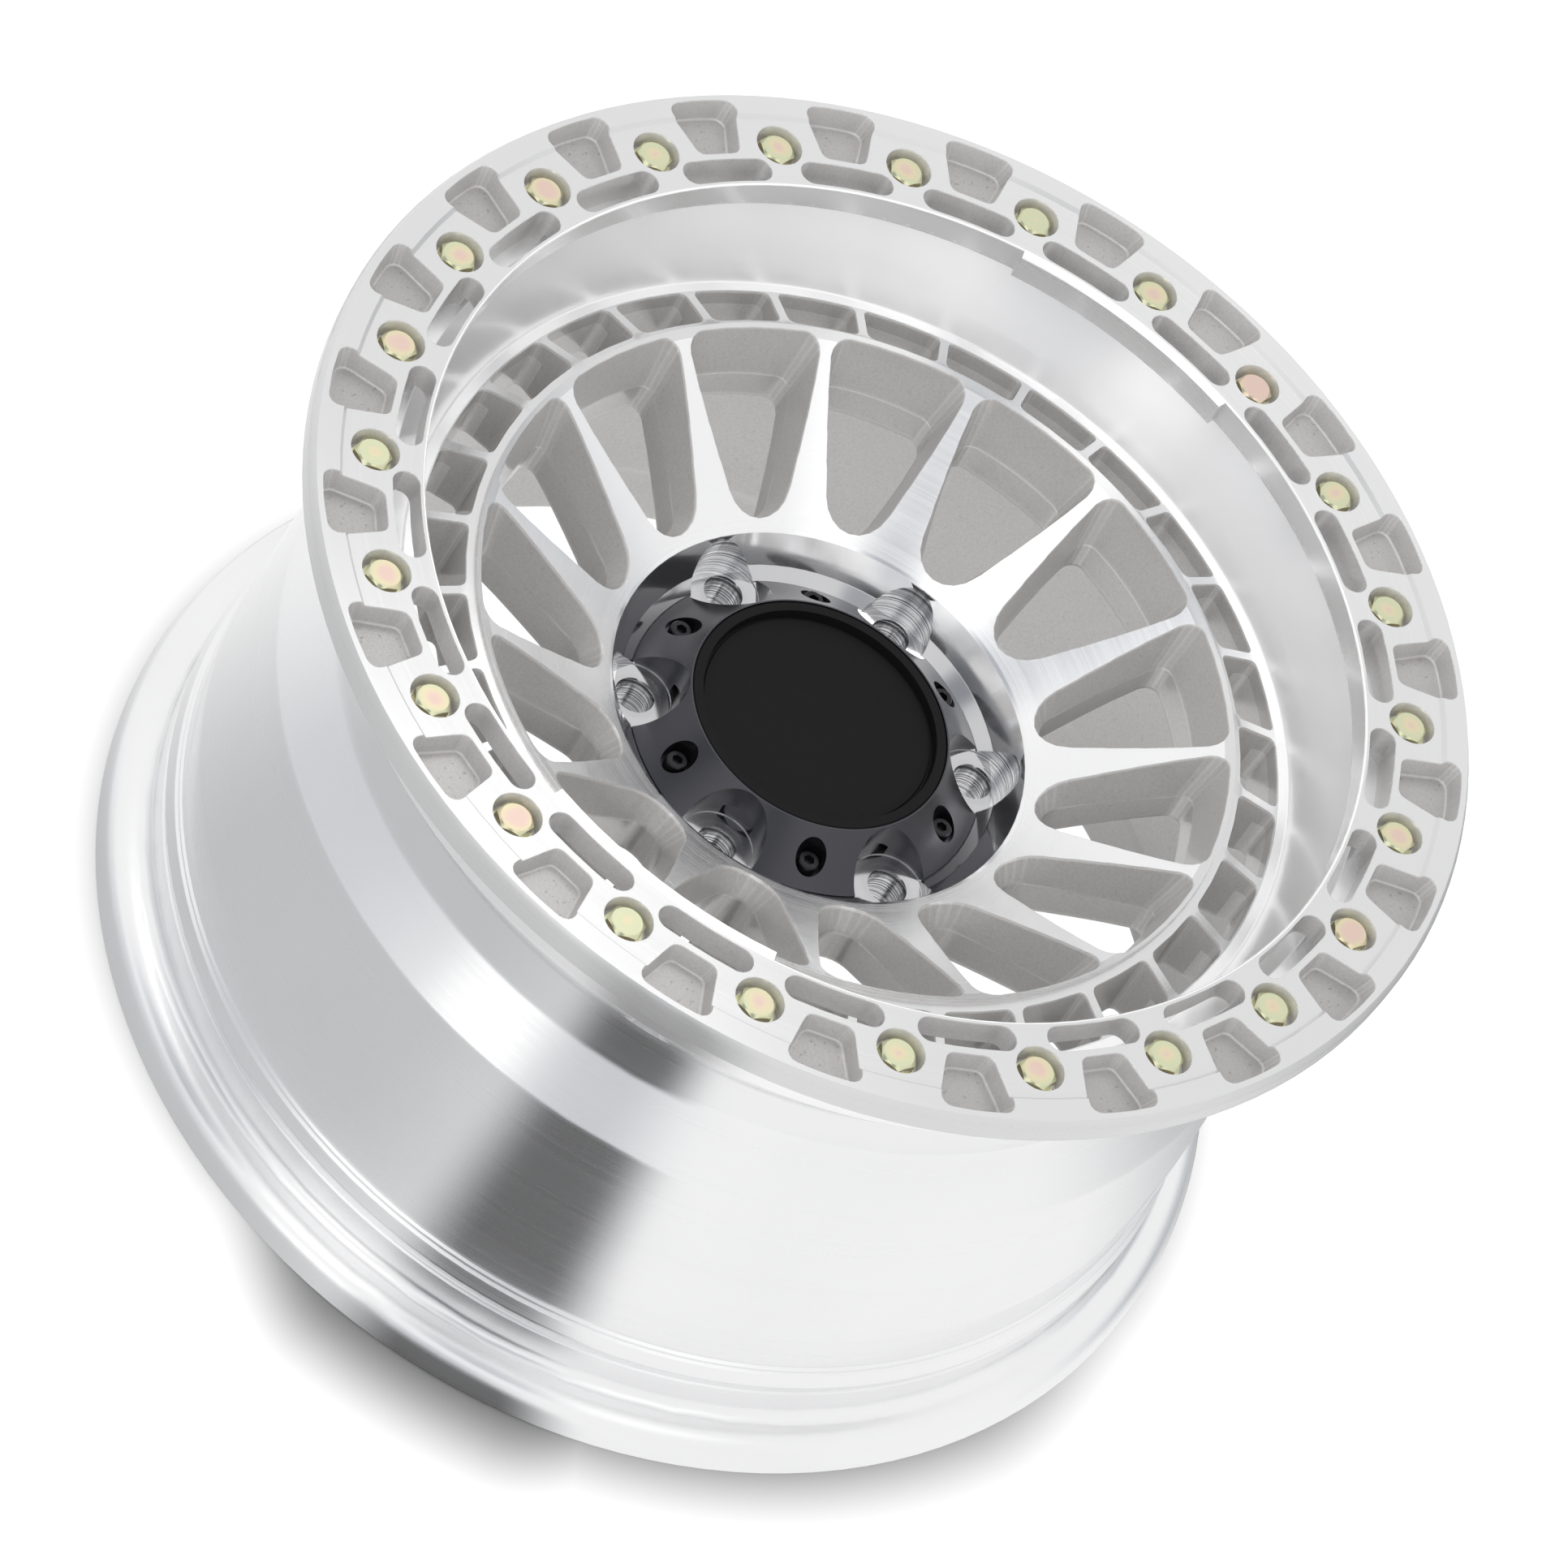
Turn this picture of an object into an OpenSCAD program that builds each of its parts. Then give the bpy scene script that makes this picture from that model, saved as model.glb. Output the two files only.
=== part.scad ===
// Off-road beadlock wheel, lying on its rear lip with its face up.
// Radii run out from the wheel's axis. Heights run up from the rear lip.

/* [Rim] */
// Diameter of both bead seats
seat_d = 436.6; // [420:0.1:460]
// Width between the two tyre bead planes
bead_w = 228.6; // [215:0.1:260]
// Height of the rear flange above the bead seat
flange_h = 16.7; // [14:0.1:20]
// Depth of the rear flange behind its bead plane
flange_t = 17.5; // [15:0.1:22]
// Wall thickness of the barrel
barrel_wall = 7; // [5:0.1:8]
// Depth of the drop centre below the bead seat
well_depth = 25.3; // [20:0.1:30]
// Width of the flat floor of the drop centre
well_w = 22.4; // [16:0.1:28]

/* [Front dish] */
// Width of the flat land that carries the beadlock ring
land_w = 20.8; // [19:0.1:24]
// Depth of the land below the front bead plane
land_drop = 4.1; // [3:0.1:6]
// Depth of the dish below the land
dish_depth = 34; // [28:0.1:40]
// Radial run of the dish wall from its mouth to its bottom
dish_run = 15.5; // [10:0.1:20]

/* [Window ring] */
// Number of small windows
small_count = 30; // [24:1:36]
// Radial width of a small window
small_w = 18.2; // [14:0.1:20]
// Width of the web between two small windows
web_w = 3.6; // [3:0.1:6]
// Width of the thin ring outside the small windows
outer_ring_w = 4.4; // [3:0.1:6]
// Width of the thin ring inside the small windows
inner_ring_w = 3; // [2.5:0.1:5]
// Corner radius of a small window
small_corner = 3; // [2:0.1:4.5]

/* [Spokes] */
// Number of spokes
spoke_count = 15; // [12:1:16]
// Width of a spoke at its waist, on the face
spoke_w = 4.4; // [4:0.1:8]
// Depth of the spokes from face to back
spoke_depth = 30; // [26:0.1:36]
// Height of the spokes' outer ends above the dish bottom
crown_rise = 8.5; // [5:0.1:12]
// Radius of a window's outer corners
window_corner = 7; // [5:0.1:9]
// Radius of a window's round inner end
window_end = 14; // [11:0.1:16]
// How far the drafted walls close in at the ridge
window_draft = 4.6; // [3:0.1:6]

/* [Hub] */
// Offset of the mounting pad in front of the rim's middle
offset = 6; // [-5:0.5:12]
// Thickness of the hub between the pad and the cap's seat
hub_t = 20.7; // [17:0.1:26]
// Depth of the hub recess below the spokes' inner ends
hub_recess = 16; // [13:0.1:20]
// Radial width of the hub recess outside the cap
hub_cone_w = 12.5; // [10:0.1:16]
// Diameter of the mounting pad
pad_d = 160; // [158:0.1:168]
// Diameter of the centre bore
bore_d = 106.1; // [95:0.1:108]
// Number of lug holes
lug_count = 6; // [5:1:6]
// Diameter of the lug hole circle
lug_pcd = 139.7; // [135:0.1:142]
// Diameter of a lug hole
lug_hole_d = 16.2; // [14:0.1:18]
// Diameter of the relief round a lug seat
lug_relief_d = 29.6; // [26:0.1:31]
// Diameter of the valve hole
valve_d = 11.3; // [10:0.1:12]

/* [Beadlock ring] */
// Thickness of the ring above the tyre bead
ring_t = 12.4; // [11:0.1:16]
// Height of the raised band near the ring's edge
band_h = 1.5; // [0.5:0.1:2.5]
// Number of beadlock bolts
bolt_count = 24; // [20:1:26]
// Distance of the bolt circle inside the bead seat
bolt_inset = 8.3; // [7.5:0.1:9.5]
// Diameter of a bolt's counterbore
counterbore_d = 19; // [18.4:0.1:20]
// Radial length of an outer pocket
pocket_l = 24; // [20:0.1:25]
// Width of an outer pocket at its outer side
pocket_w = 31; // [26:0.1:32]
// Width of an outer pocket at its inner side
pocket_in_w = 18; // [14:0.1:19]
// Depth of an outer pocket
pocket_depth = 8.3; // [5:0.1:9]
// Width of an inner slot
slot_w = 10.8; // [8:0.1:11]
// Metal left between two inner slots
slot_bridge = 12.7; // [10:0.1:18]
// Width of the rim of metal inside the slots
ring_edge_w = 1.9; // [1.5:0.1:4]
// How far the two tabs stand in from the ring
tab_out = 4; // [2:0.1:5]
// Angle that each tab spans
tab_angle = 30; // [20:1:40]

/* [Beadlock bolts] */
// Thread diameter of a beadlock bolt
bolt_d = 8; // [6:0.5:9]
// Width of the hexagon head across its flats
bolt_af = 13; // [12:0.1:13.5]
// Height of the hexagon head
bolt_head_h = 5.5; // [4:0.1:6]
// Length of the shank under the head
bolt_l = 25; // [20:0.5:26]
// Diameter of a washer
washer_d = 16; // [15:0.1:17.6]
// Thickness of a washer
washer_t = 1.5; // [1:0.1:2]

/* [Centre cap] */
// Width of the cap's foot outside its circle of screws
screw_edge = 10.1; // [9:0.1:11]
// Height of the cap
cap_h = 16.5; // [14:0.1:20]
// Diameter of the round disc in the cap
disc_d = 104.8; // [100:0.1:105]
// Thickness of the disc at its rim
disc_t = 7; // [5:0.1:8]
// Width of the disc's flat rim
disc_rim_w = 4.2; // [3:0.1:6]
// Depth of the disc's floor below its rim
disc_sink = 3.6; // [2:0.1:4]
// Diameter of the scallops round the lug holes
scallop_d = 32.6; // [31.5:0.1:33]
// Diameter of the circle of cap screws
screw_pcd = 125.4; // [123:0.1:128]
// Thread diameter of a cap screw
screw_d = 5; // [4:0.5:5]
// Diameter of a cap screw's head
screw_head_d = 8.6; // [8:0.1:9]
// Diameter of a cap screw's counterbore
screw_bore_d = 12; // [10.5:0.1:13]
// Length of a cap screw's shank
screw_l = 14; // [10:0.5:16]

/* [Hidden] */
$fn = 96;

// Clearance round a screw's shank and round the cap disc
gap = 0.3;
// How far a cutter runs past the surface that it opens
past = 2;

// Heights of the rim's planes
rear_plane = flange_t;
front_plane = rear_plane + bead_w;
land_z = front_plane - land_drop;
ring_z = front_plane + ring_t;
dish_z = land_z - dish_depth;
crown_z = dish_z + crown_rise;
pad_z = rear_plane + bead_w / 2 + offset;
hub_z = pad_z + hub_t;
hub_edge_z = hub_z + hub_recess;

// Radii from the bead seat inwards
seat_r = seat_d / 2;
lip_r = seat_r + flange_h;
bolt_r = seat_r - bolt_inset;
land_r = seat_r - land_w;
dish_r = land_r - dish_run;
small_out = dish_r - outer_ring_w - 0.9;
small_in = small_out - small_w;
step_r = small_in - inner_ring_w;
window_out = step_r - 2.1;
well_r = seat_r - well_depth;
cap_r = screw_pcd / 2 + screw_edge;
hub_edge_r = cap_r + hub_cone_w;
window_in = hub_edge_r + 4.6;
lug_r = lug_pcd / 2;

// Heights across the window ring
inner_ring_z = crown_z - 2.5;
outer_ring_z = dish_z + 0.5;

// Height of the spoke face at radius r
face_slope = (crown_z - hub_edge_z) / (window_out - hub_edge_r);
function face_z(r) = hub_edge_z + face_slope * (r - hub_edge_r);

// Height of the back of the disc at radius r
back_in = window_in + 5;
back_slope = 0.5;
back_in_z = face_z(back_in) - spoke_depth;
function back_z(r) = back_in_z + back_slope * (r - back_in);

// Unit vector along v
function unit(v) = v / norm(v);

// Points on an arc of radius r about c, from angle a to angle b
function arc(c, r, a, b, n) = [for (i = [0:n]) c + r * [cos(a + (b - a) * i / n), sin(a + (b - a) * i / n)]];

// Points of a corner at b between a and c, rounded to radius r
function corner(a, b, c, r, n) =
    let (u = unit(a - b), v = unit(c - b), half = acos(u * v) / 2)
    let (m = b + unit(u + v) * r / sin(half))
    let (p = b + u * r / tan(half) - m, q = b + v * r / tan(half) - m)
    let (start = atan2(p[1], p[0]), turn = atan2(p[0] * q[1] - p[1] * q[0], p * q))
    arc(m, r, start, start + turn, n);

// An outline from [x, y, corner radius] triples
function soft(list, n = 4) = [for (i = [0:len(list) - 1])
    let (a = list[(i + len(list) - 1) % len(list)], b = list[i], c = list[(i + 1) % len(list)])
    let (b2 = [b[0], b[1]])
    each b[2] == 0 ? [b2] : corner([a[0], a[1]], b2, [c[0], c[1]], b[2], n)];

// A closed solid through rings of points, each with as many points
module loft(rings) {
    n = len(rings[0]);
    last = len(rings) - 1;
    points = concat([for (ring = rings) each ring], [mean(rings[0]), mean(rings[last])]);
    low = len(points) - 2;
    high = len(points) - 1;
    walls = [for (k = [0:last - 1], i = [0:n - 1])
        let (a = k * n + i, b = k * n + (i + 1) % n)
        each [[a, b, b + n], [a, b + n, a + n]]];
    caps = [for (i = [0:n - 1])
        each [[low, (i + 1) % n, i], [high, last * n + i, last * n + (i + 1) % n]]];
    polyhedron(points, concat(walls, caps));
}
function mean(list) = [for (k = [0:2]) sum([for (p = list) p[k]]) / len(list)];
function sum(list, i = 0) = i < len(list) ? list[i] + sum(list, i + 1) : 0;

// Outline of one side of a spoke window, from its inner end to its middle
// at the outer end. half is the half width of the spoke's waist.
function window_side(r_in, r_out, half, r_end, r_corner) =
    let (alpha = 180 / spoke_count, mid = r_in + r_end, rho = r_out - r_corner)
    let (delta = asin((half + r_corner) / rho))
    let (s_out = rho * cos(delta), s_in = mid * cos(alpha))
    let (root = mid * sin(alpha) - r_end)
    let (beta = atan(1.35 * (root - half) / (s_out - s_in)))
    let (s_end = s_in - r_end * sin(beta), h_end = mid * sin(alpha) - r_end * cos(beta))
    concat(
        arc([mid, 0], r_end, 180, 90 + alpha + beta, 4),
        [for (i = [1:3])
            let (t = i / 4, s = s_end + (s_out - s_end) * t)
            let (h = half + (h_end - half) * pow(1 - t, 1.35))
            [s * cos(alpha) + h * sin(alpha), s * sin(alpha) - h * cos(alpha)]],
        arc(rho * [cos(alpha - delta), sin(alpha - delta)], r_corner, 90 + alpha, alpha - delta, 4),
        arc([0, 0], r_out, (alpha - delta) / 2, 0, 1));

// The whole window outline, mirrored about its middle line
function window_outline(r_in, r_out, half, r_end, r_corner) =
    let (side = window_side(r_in, r_out, half, r_end, r_corner), n = len(side))
    concat(side, [for (i = [1:n - 2]) [side[n - 1 - i][0], -side[n - 1 - i][1]]]);

// Depths of the ridge between the drafted wall and the straight wall
ridge_out = 21.7;
ridge_in = 11.7;
function ridge_z(x) = face_z(x) - ridge_in
    - (ridge_out - ridge_in) * (x - window_in) / (window_out - window_in);

// Cutter for one spoke window: a drafted mouth over a straight throat
module spoke_window() {
    half = spoke_w / 2;
    mouth = window_outline(window_in, window_out, half, window_end, window_corner);
    ridge = window_outline(window_in + window_draft + 1.5, window_out - window_draft,
        half + window_draft - 0.9, window_end - 4, window_corner - 1.5);
    throat = window_outline(window_in + window_draft + 1, window_out - window_draft + 0.6,
        half + window_draft - 0.5, window_end - 4, window_corner - 1.5);
    reach = 1.25;
    top = [for (i = [0:len(mouth) - 1])
        let (m = concat(mouth[i], face_z(norm(mouth[i]))), r = concat(ridge[i], ridge_z(ridge[i][0])))
        r + reach * (m - r)];
    loft([
        [for (p = throat) [p[0], p[1], back_z(p[0]) - 12]],
        [for (p = throat) [p[0], p[1], ridge_z(p[0]) - 1.6]],
        [for (p = ridge) [p[0], p[1], ridge_z(p[0])]],
        top]);
}

// Outline of one side of a small window
function small_side(r_in, r_out, half, r_corner) =
    let (alpha = 180 / small_count, low = r_in + r_corner, high = r_out - r_corner)
    let (a = alpha - asin((half + r_corner) / low), b = alpha - asin((half + r_corner) / high))
    concat(
        [[r_in, 0]],
        arc(low * [cos(a), sin(a)], r_corner, 180 + a, 90 + alpha, 3),
        arc(high * [cos(b), sin(b)], r_corner, 90 + alpha, b, 3),
        [[r_out, 0]]);
function small_outline(r_in, r_out, half, r_corner) =
    let (side = small_side(r_in, r_out, half, r_corner), n = len(side))
    concat(side, [for (i = [1:n - 2]) [side[n - 1 - i][0], -side[n - 1 - i][1]]]);

// Height of the window ring's face at radius r
ring_slope = (outer_ring_z - inner_ring_z) / (small_out - small_in);
function small_z(r) = inner_ring_z + ring_slope * (r - small_in);

// Cutter for one small window, drafted towards the back
module small_window() {
    half = web_w / 2;
    draft = 1.3;
    rise = 5;
    mouth = small_outline(small_in - 0.3, small_out + 0.3, half - 0.2, small_corner);
    throat = small_outline(small_in + draft, small_out - draft, half + draft * 0.7, small_corner);
    loft([
        [for (p = throat) [p[0], p[1], back_z(small_in) - 4]],
        [for (p = mouth) [p[0], p[1], small_z(norm(p)) + rise]]]);
}

// Circles where the hub joins the spokes, and where these join the rim
hub_join = hub_edge_r + 2;
rim_join = small_out + outer_ring_w / 2;
rim_join_z = (outer_ring_z + dish_z) / 2;
rim_back_z = back_z(small_in) + 1.5;
hub_back_z = back_in_z - 3;

// Half section of the hub, from the bore to the spokes
function hub_section() = soft([
    [bore_d / 2, pad_z + 1.5, 0],
    [bore_d / 2, hub_z, 0],
    [cap_r, hub_z, 0],
    [cap_r + 5.2, hub_z + 4.5, 2],
    [hub_edge_r, hub_edge_z, 0.4],
    [hub_join, face_z(hub_join), 0],
    [hub_join, hub_back_z, 0],
    [pad_d / 2 + 1, pad_z + 2.5, 1],
    [pad_d / 2, pad_z, 0.6],
    [bore_d / 2 + 1.5, pad_z, 0]], 3);

// Half section of the spokes and the window ring, before the windows
function disc_section() = [
    [hub_join, hub_back_z],
    [hub_join, face_z(hub_join)],
    [step_r - 0.6, face_z(step_r - 0.6)],
    [step_r, inner_ring_z + 0.2],
    [small_in, inner_ring_z],
    [small_out, outer_ring_z],
    [rim_join, rim_join_z],
    [rim_join, rim_back_z],
    [small_in, back_z(small_in)],
    [back_in, back_in_z]];

// Half section of the rim, down its outside and back along its inside
function rim_section() = soft([
    [rim_join, rim_join_z, 0],
    [dish_r - 0.9, dish_z, 0.3],
    [dish_r, dish_z + 0.6, 0],
    [land_r, land_z, 0.5],
    [seat_r, land_z, 0.6],
    [seat_r - 1.7, land_z - 19.4, 0.5],
    [seat_r - 5.6, land_z - 21.3, 0.5],
    [seat_r - 4.3, land_z - 23.7, 1.5],
    [well_r, well_top_z, 8],
    [well_r, well_low_z, 8],
    [seat_r - 9.3, taper_z, 6],
    [seat_r - 6.3, neck_z, 0],
    [seat_r - 4, bend_z, 20],
    [seat_r - 4.3, ledge_z + 0.6, 0.4],
    [seat_r - 3.1, ledge_z, 0],
    [seat_r - 3.1, ledge_z - 1.4, 0],
    [seat_r - 1.9, ledge_z - 2, 0.5],
    [seat_r + 0.2, hump_z, 2.5],
    [seat_r - 1.5, hump_z - 5, 0.5],
    [seat_r - 1.5, hump_z - 5.7, 0],
    [seat_r - 0.5, hump_z - 6.1, 0],
    [seat_r, rear_plane, 5.5],
    [lip_r, rear_plane, 9],
    [lip_r, 0, 2.2],
    [lip_r - 6.2, 0, 2],
    [lip_r - 7.6, rear_plane - 8, 3],
    [seat_r - barrel_wall - 0.5, rear_plane - 5.5, 5],
    [seat_r - barrel_wall - 0.5, hump_z + 1, 6],
    [seat_r - barrel_wall - 4.5, hump_z + 11, 6],
    [seat_r - barrel_wall - 4.5, bend_z + 1, 12],
    [seat_r - barrel_wall - 8.3, neck_z + 16, 6],
    [seat_r - barrel_wall - 9.5, taper_z - 3.8, 10],
    [well_r - barrel_wall, well_low_z - 3.8, 8],
    [well_r - barrel_wall, rim_back_z + 0.5, 7],
    [rim_join, rim_back_z, 0]], 3);

// Heights along the barrel: the rear hump, the ledge in front of it, and two bends
hump_z = rear_plane + 21;
ledge_z = rear_plane + 28.4;
bend_z = rear_plane + 51;
neck_z = rear_plane + 96;

// Heights along the drop centre, whose front edge lies well_inset below the land
well_inset = 52.1;
well_top_z = land_z - well_inset;
well_low_z = well_top_z - well_w;
taper_z = well_low_z - 24.5;

// One lug hole with its relief in the hub cone and its conical seat
module lug_hole() {
    seat_top = 10.3;
    seat_depth = (seat_top - lug_hole_d / 2) / tan(30);
    floor_z = hub_z - 0.5;
    translate([lug_r, 0, floor_z]) cylinder(d = lug_relief_d, h = hub_recess + past);
    translate([lug_r, 0, floor_z - seat_depth])
        cylinder(r1 = lug_hole_d / 2, r2 = seat_top, h = seat_depth);
    translate([lug_r, 0, pad_z - past]) cylinder(d = lug_hole_d, h = hub_t + past);
}

// Valve hole through the dish wall, with a spot face on the tyre side
valve_angle = 180 / bolt_count;
valve_z = (land_z + dish_z) / 2 - 3;
valve_tilt = 90 + atan(dish_run / dish_depth);
module valve_hole() {
    rotate(valve_angle) translate([(land_r + dish_r) / 2, 0, valve_z]) rotate([0, valve_tilt, 0]) {
        translate([0, 0, -10]) cylinder(d = valve_d, h = 45);
        translate([0, 0, 11]) cylinder(d = 19, h = 24);
    }
}

// Heights of the bolts: under the heads, and the floors of the counterbores and of the blind holes
head_sink = 1.5;
head_seat = ring_z - head_sink - bolt_head_h;
bolt_seat = head_seat - washer_t;
hole_floor = head_seat - bolt_l - 1.5;

// Blind hole for one beadlock bolt
module bolt_hole() {
    translate([bolt_r, 0, hole_floor]) cylinder(d = bolt_d + 2 * gap, h = land_z - hole_floor + past);
}

// Hole for one cap screw, from its blind end in the hub up into the cap
module screw_hole() {
    translate([screw_pcd / 2, 0, hub_z - screw_l]) cylinder(d = screw_d + 2 * gap, h = screw_l + 2 * past);
}

// Copies of the children round the axis
module around(count, start = 0) {
    for (i = [0:count - 1]) rotate(start + 360 * i / count) children();
}

// The three stretches of the casting, which share their joining circles
module hub() {
    difference() {
        rotate_extrude($fn = 240) polygon(hub_section());
        around(lug_count) lug_hole();
        around(lug_count, 180 / lug_count) screw_hole();
    }
}
module spoke_disc() {
    difference() {
        rotate_extrude($fn = 240) polygon(disc_section());
        around(spoke_count, 180 / spoke_count) spoke_window();
        around(small_count) small_window();
    }
}
module rim() {
    difference() {
        rotate_extrude($fn = 240) polygon(rim_section());
        around(bolt_count) bolt_hole();
        valve_hole();
    }
}

// The one-piece wheel casting
module wheel_casting() {
    color("gainsboro") {
        hub();
        spoke_disc();
        rim();
    }
}

// Half section of the beadlock ring
ring_in = land_r - 7.1;
ring_under = ring_z - 11.7;
function ring_section() = [
    [ring_in, ring_under],
    [land_r + 1, ring_under],
    [land_r + 1.5, land_z],
    [seat_r, land_z],
    [seat_r, front_plane],
    [lip_r - 7, front_plane],
    [lip_r - 6, front_plane + 2.5],
    [lip_r - 0.9, front_plane + 2.5],
    [lip_r, front_plane + 3.4],
    [lip_r, ring_z - 2.2],
    [lip_r - 2, ring_z + band_h],
    [lip_r - 11, ring_z + band_h],
    [lip_r - 12.5, ring_z],
    [ring_in + 0.4, ring_z],
    [ring_in, ring_z - 0.4]];

// Half section of the ring's tabs
function tab_section() = [
    [ring_in - tab_out, ring_under + 0.5],
    [ring_in + 1, ring_under],
    [ring_in + 1, ring_z],
    [ring_in - tab_out + 0.4, ring_z],
    [ring_in - tab_out, ring_z - 0.4]];

// Cutter for one outer pocket, a drafted trapezoid
pocket_out = lip_r - 5.3;
module pocket() {
    low = pocket_out - pocket_l;
    draft = pocket_depth * tan(10);
    top_rise = band_h + 1;
    rings = [for (level = [[-pocket_depth, draft], [top_rise, -top_rise * tan(10)]])
        let (d = level[1])
        [for (p = soft([
            [low + d, pocket_in_w / 2 - d, 4],
            [pocket_out - d, pocket_w / 2 - d, 4.5],
            [pocket_out + 1 - d, 0, 90],
            [pocket_out - d, -pocket_w / 2 + d, 4.5],
            [low + d, -pocket_in_w / 2 + d, 4]]))
            [p[0], p[1], ring_z + level[0]]]];
    loft(rings);
}

// Cutter for one inner slot, with full round ends
module slot() {
    mid = ring_in + ring_edge_w + slot_w / 2;
    span = 360 / bolt_count - (slot_bridge + slot_w) / mid * 180 / PI;
    translate([0, 0, land_z - past]) {
        rotate(-span / 2) rotate_extrude(angle = span, $fn = 240)
            translate([mid - slot_w / 2, 0]) square([slot_w, ring_z - land_z + 2 * past]);
        for (side = [-1, 1]) rotate(side * span / 2) translate([mid, 0, 0])
            cylinder(d = slot_w, h = ring_z - land_z + 2 * past, $fn = 48);
    }
}

// The machined ring that clamps the outer tyre bead
module beadlock_ring() {
    color("silver") difference() {
        union() {
            rotate_extrude($fn = 240) polygon(ring_section());
            for (side = [0, 1]) rotate(180 * side - tab_angle / 2)
                rotate_extrude(angle = tab_angle, $fn = 240) polygon(tab_section());
        }
        around(bolt_count) translate([bolt_r, 0, bolt_seat]) cylinder(d = counterbore_d, h = ring_z);
        around(bolt_count) translate([bolt_r, 0, land_z - past]) cylinder(d = bolt_d + 2 * gap, h = ring_z);
        around(bolt_count, 180 / bolt_count) pocket();
        around(bolt_count, 180 / bolt_count) slot();
    }
}

// One beadlock bolt standing on its washer
module beadlock_bolt() {
    top = bolt_head_h;
    chamfer_r = bolt_af * 0.455;
    translate([bolt_r, 0, head_seat]) {
        intersection() {
            cylinder(d = bolt_af / cos(30), h = top, $fn = 6);
            rotate_extrude() polygon([[0, 0], [bolt_af / 2 + 1.1, 0],
                [bolt_af / 2 + 1.1, top - 1.2], [chamfer_r, top], [0, top]]);
        }
        translate([0, 0, -bolt_l]) cylinder(d = bolt_d, h = bolt_l);
    }
}
module beadlock_bolts() {
    color("khaki") around(bolt_count) beadlock_bolt();
}

// One washer in each counterbore
module bolt_washers() {
    color("darkkhaki") around(bolt_count) translate([bolt_r, 0, bolt_seat]) difference() {
        cylinder(d = washer_d, h = washer_t);
        translate([0, 0, -past]) cylinder(d = bolt_d + 2 * gap, h = washer_t + 2 * past);
    }
}

// Heights and radii of the cap
cap_z = hub_z + cap_h;
disc_seat = cap_z - disc_t;
recess_r = disc_d / 2 + gap;
screw_seat = hub_z + 2;

// The scalloped cone of the centre cap
module cap_skirt() {
    shelf = 7;
    color("dimgray") difference() {
        rotate_extrude($fn = 144) polygon([
            [cap_r, hub_z],
            [cap_r, hub_z + 0.8],
            [recess_r + 0.6, cap_z],
            [recess_r, cap_z],
            [recess_r, disc_seat],
            [recess_r - shelf, disc_seat],
            [recess_r - shelf, disc_seat - 3],
            [recess_r, disc_seat - 3],
            [recess_r + 3, hub_z + 3],
            [recess_r + 3, hub_z]]);
        around(lug_count) translate([lug_r, 0, hub_z - past]) cylinder(d = scallop_d, h = cap_h + 2 * past);
        around(lug_count, 180 / lug_count) {
            translate([screw_pcd / 2, 0, screw_seat]) cylinder(d = screw_bore_d, h = cap_h);
            screw_hole();
        }
    }
}

// The round black insert in the cap
module cap_disc() {
    rim = disc_d / 2;
    floor_r = rim - disc_rim_w;
    color("black") rotate_extrude($fn = 144) polygon([
        [0, disc_seat],
        [rim, disc_seat],
        [rim, cap_z - 0.5],
        [rim - 0.5, cap_z],
        [floor_r, cap_z],
        [floor_r - 0.4, cap_z - disc_sink - 0.6],
        [floor_r - 1.2, cap_z - disc_sink - 0.6],
        [floor_r - 1.6, cap_z - disc_sink],
        [0, cap_z - disc_sink]]);
}

// One socket head screw of the cap
module cap_screw() {
    head_h = screw_d;
    socket_af = screw_d * 0.8;
    translate([screw_pcd / 2, 0, screw_seat]) difference() {
        union() {
            rotate_extrude($fn = 48) polygon([[0, 0], [screw_head_d / 2, 0],
                [screw_head_d / 2, head_h - 0.5], [screw_head_d / 2 - 0.5, head_h], [0, head_h]]);
            translate([0, 0, 1 - screw_l]) cylinder(d = screw_d, h = screw_l, $fn = 48);
        }
        translate([0, 0, head_h / 2]) cylinder(d = socket_af / cos(30), h = head_h, $fn = 6);
    }
}
module cap_screws() {
    color("black") around(lug_count, 180 / lug_count) cap_screw();
}

wheel_casting();
beadlock_ring();
beadlock_bolts();
bolt_washers();
cap_skirt();
cap_disc();
cap_screws();
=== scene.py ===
"""Off-road beadlock wheel: finishes, floor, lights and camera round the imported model."""

import math

import bpy
import numpy as np
from mathutils import Matrix, Vector


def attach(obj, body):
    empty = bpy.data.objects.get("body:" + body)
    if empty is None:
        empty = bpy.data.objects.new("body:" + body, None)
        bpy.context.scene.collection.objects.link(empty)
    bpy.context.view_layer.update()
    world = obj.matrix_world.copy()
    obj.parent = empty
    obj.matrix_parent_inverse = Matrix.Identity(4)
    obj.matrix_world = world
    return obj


# Radii and heights of the wheel's regions, in metres
HUB_R = 0.0866
CAP_R = 0.0782
PAD_Z = 0.1370
DISC_LOW = 0.1400
STEP_R = 0.1513
DISH_R = 0.1772
BARREL_IN = 0.1700
DISH_LOW = 0.2068
RIM_R = 0.1800
FACE_TILT = 0.72
BOLTS = 24
BOLT_R = 0.2100
HEAD_R = 0.0062
RING_IN = 0.1912
LUGS = 6
LUG_R = 0.06985
COLLAR_SIDES = 144
COLLAR_PROFILE = ((0.0531, 0.15852), (0.05345, 0.15852), (0.05345, 0.16405), (0.0531, 0.16405))

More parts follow.
